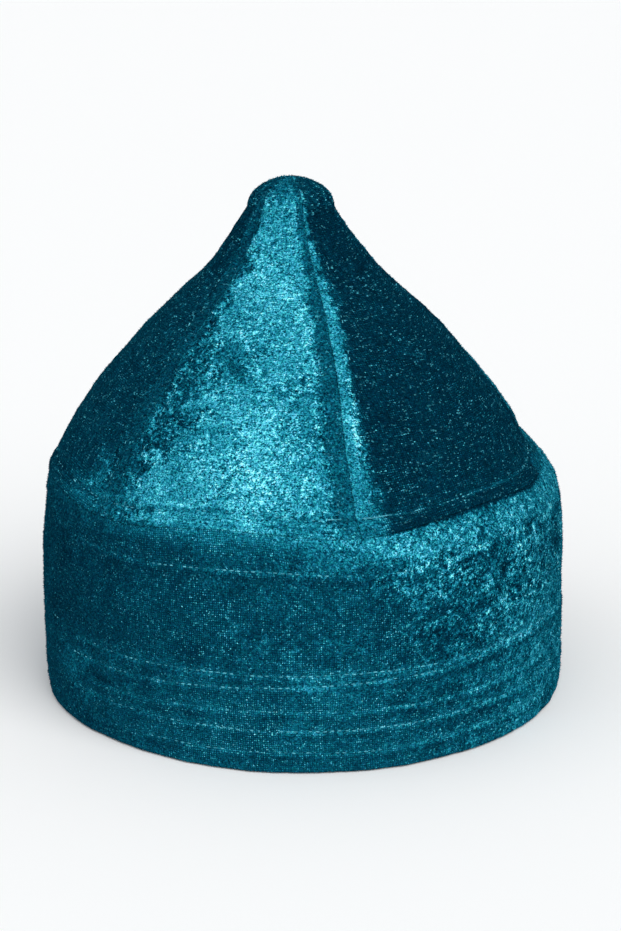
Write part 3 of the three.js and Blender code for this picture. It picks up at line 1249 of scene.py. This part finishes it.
def velvet(name):
    look = velvets[name]
    size = velvetSizes
    finish = Finish(name + "Velvet")
    places = finish.node("ShaderNodeTexCoord", output="Object")
    laid = finish.node("ShaderNodeAttribute", {"attribute_name": "cloth"}, output="Vector")
    nap, crush, pile, worn, shine = map(finish.attribute, ("nap", "crush", "pile", "worn", "shine"))

    # single tufts, some of them specks of light that come in clusters
    tuft = finish.cells(places, size["tuft"])
    brushed = finish.node("ShaderNodeMapping", {}, {"Vector": laid, "Scale": (look["brushed"], 1, 1)})
    chance = finish.cells(brushed, size["tuft"]).other("Green")
    fine = finish.grain(places, size["tuft"] * 2)
    grain = (tuft - 0.5) * (nap * 0.35 + 0.93) + fine * (1.6 - nap * 1.8)
    flat = finish.node("ShaderNodeMapping", {}, {"Vector": laid, "Scale": (0.22, 1, 1)})
    courses = finish.grain(flat, size["course"])
    cluster = finish.grain(flat, size["clump"]) * 2 + finish.grain(places, size["cluster"], 2, 0.6) * 2.4
    speck = ((chance - 0.72) * 3.6).clamped()
    speck = speck * speck * speck * ((cluster + 0.55).clamped() * 1.4 + 0.15)

    # crushed pile falls into leaning patches
    lean = {"Vector": laid, "Rotation": (0, 0, patchLean), "Scale": (0.9, look["stretch"], 1)}
    leaning = finish.node("ShaderNodeMapping", {"vector_type": "TEXTURE"}, lean)
    patch = finish.grain(leaning, size["crease"], 2, 0.6) * 2.5 + finish.grain(leaning, size["patch"]) * 1.1
    patch = (patch * 1.2 + 0.45).clamped()
    patch = patch * (patch * 0.6 + 0.7) * 1.2 - 0.6

    # worn pile lets the weave's dots show
    turns = 2 * math.pi / size["weave"]
    ragged = finish.grain(places, size["ragged"], 2) * 9
    split = finish.node("ShaderNodeSeparateXYZ", {}, {"Vector": laid})
    across = (split * turns + ragged).maths("SINE")
    upward = (split.other("Y") * turns - ragged).maths("SINE")
    dots = (across + 1) * (upward + 1) * 0.25
    showing = worn * (finish.grain(places, size["bareSpot"], 2) * 3 + 0.75).clamped()
    strength = (dots * (0.3 + chance * chance * 3.0) * 1.3 - 0.42 + (across + upward) * 0.1) * showing
    weave = strength * look["weave"]

    # the tone starts from the painted sheen and shade stored on the cloth, and from each tuft's painted
    # shine
    tone = nap * (1 + pile * crush * patch * look["patch"])
    grains = grain * (1 - showing * 0.75) + look["courses"] * courses * (1 - showing * 0.5)
    tone = tone * (1 + shine * (1.1 - nap * 0.9) + pile * (grains * (0.9 + crush * 0.35) + weave))
    sparkle = 0.45 + crush * 0.4 + (dots - 0.35) * worn
    tone = (tone + speck * pile * look["speck"] * sparkle).clamped()

    colour = finish.node("ShaderNodeValToRGB", {"stops": pileColours}, {"Fac": tone})
    colour = finish.mix(tuft.other("Blue"), finish.mix(1.0, colour, greener, "MULTIPLY"),
                        finish.mix(1.0, colour, bluer, "MULTIPLY"))
    # glint: a painted highlight, pale colour added to the brightest specks
    glint = (speck * speck * pile * (1 - nap * 1.6)).clamped()
    colour = finish.mix(glint, colour, (*(look["paintedHighlight"] * part for part in glintColour), 1), "ADD")
    height = grain + dots * showing
    bump = finish.node("ShaderNodeBump", {}, {"Strength": 0.4, "Distance": 0.0003, "Height": height})
    return finish.surface({
        "Base Color": colour,
        "Roughness": (0.8 - grain * 0.2).clamped(),
        "Specular IOR Level": 0.0,
        "Sheen Weight": 0.006,
        "Sheen Roughness": 0.4,
        "Sheen Tint": (0.05, 0.7, 0.85, 1),
        "Normal": bump,
    })


threadLook = {"colour": (0.13, 0.55, 0.68), "dark": (0.004, 0.12, 0.18), "ply": 0.0004, "soiled": 0.004}


def sewingThread():
    finish = Finish("sewingThread")
    places = finish.node("ShaderNodeTexCoord", output="Object")
    twist = finish.grain(places, threadLook["ply"], 2, 0.6)
    soiled = finish.grain(places, threadLook["soiled"], 2, 0.6)
    stops = [(0.38, threadLook["dark"]), (0.66, threadLook["colour"])]
    tone = (0.5 + twist * 0.5 + soiled * 0.9).clamped()
    colour = finish.node("ShaderNodeValToRGB", {"stops": stops}, {"Fac": tone})
    bump = finish.node("ShaderNodeBump", {}, {"Strength": 0.3, "Distance": 0.0001, "Height": twist})
    return finish.surface({
        "Base Color": colour,
        "Roughness": (0.7 + twist * 0.3).clamped(),
        "Specular IOR Level": 0.02,
        "Specular Tint": (0.25, 0.9, 1.0, 1),
        "Normal": bump,
    })


bandVelvet = velvet("band")
crownVelvet = velvet("crown")
threadFinish = sewingThread()
print("finishes made")

template = stitchShape()
tuftNodes = tuftGroup()
band = makeBand(bandVelvet)
bandStitches = sewBand(template, threadFinish)
bandPile = growPile(band, tuftNodes, 1, bandVelvet, "band")
print("band made")

for number in range(1, shape["goreCount"] + 1):
    node = f"gore_{number}"
    gore = makeGore(node, number, crownVelvet)
    stitches = sewGore(node, number, template, threadFinish)
    pile = growPile(gore, tuftNodes, number + 1, crownVelvet, node)
    print(node, "made")
bpy.data.meshes.remove(template)

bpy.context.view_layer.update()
triangles = {p.name: sum(len(f.vertices) - 2 for f in p.data.polygons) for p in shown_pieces()}
print("triangles", sum(triangles.values()), triangles)
